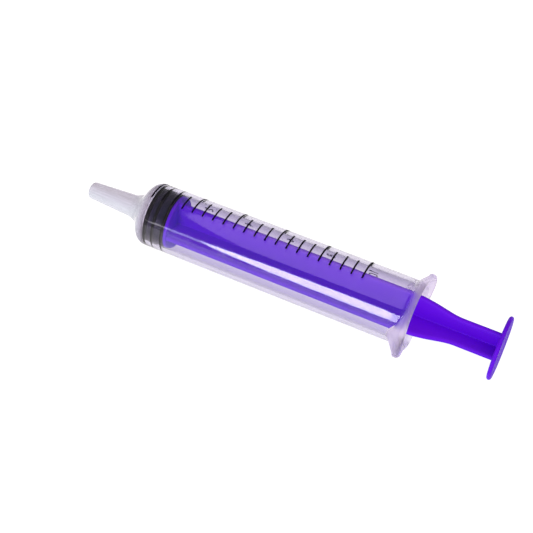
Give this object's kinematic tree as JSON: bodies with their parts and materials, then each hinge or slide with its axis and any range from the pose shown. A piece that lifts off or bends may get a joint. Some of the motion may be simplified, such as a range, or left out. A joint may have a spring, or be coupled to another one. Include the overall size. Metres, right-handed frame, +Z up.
{
  "type": "oral syringe",
  "caption": "Oral dosing syringe: clear tube with a printed millilitre scale, blunt nozzle and finger flange, black stopper and a purple cross-ribbed plunger rod.",
  "frame": {"origin": "centre of the nozzle's mouth, on the barrel's axis", "axes": "+X along the axis from the nozzle's mouth to the thumb disc, the flange's two wings along -Y and +Y, +Z up through the side that the scale's lines start on"},
  "size_m": [0.1142, 0.027, 0.0172],
  "materials": {
    "clear_plastic": "clear, slightly hazy moulded polypropylene",
    "black_rubber": "smooth moulded rubber, lightly oiled",
    "purple_plastic": "satin moulded polypropylene",
    "scale_ink": "printed ink"
  },
  "bodies": {
    "barrel": {"barrel": "clear_plastic", "scale_lines_short": "scale_ink", "scale_lines_long": "scale_ink", "scale_numerals": "scale_ink", "scale_unit": "scale_ink"},
    "stopper": {"stopper": "black_rubber"},
    "plunger": {"plunger_rod": "purple_plastic"}
  },
  "joints": [
    {"name": "plunger_slide", "type": "slide", "parent": "barrel", "child": "stopper", "axis": [1, 0, 0], "range_m": [0, 0.063]},
    {"name": "rod_spin", "type": "hinge", "parent": "stopper", "child": "plunger", "pos_m": [0.024, 0, 0], "axis": [1, 0, 0], "continuous": true}
  ]
}
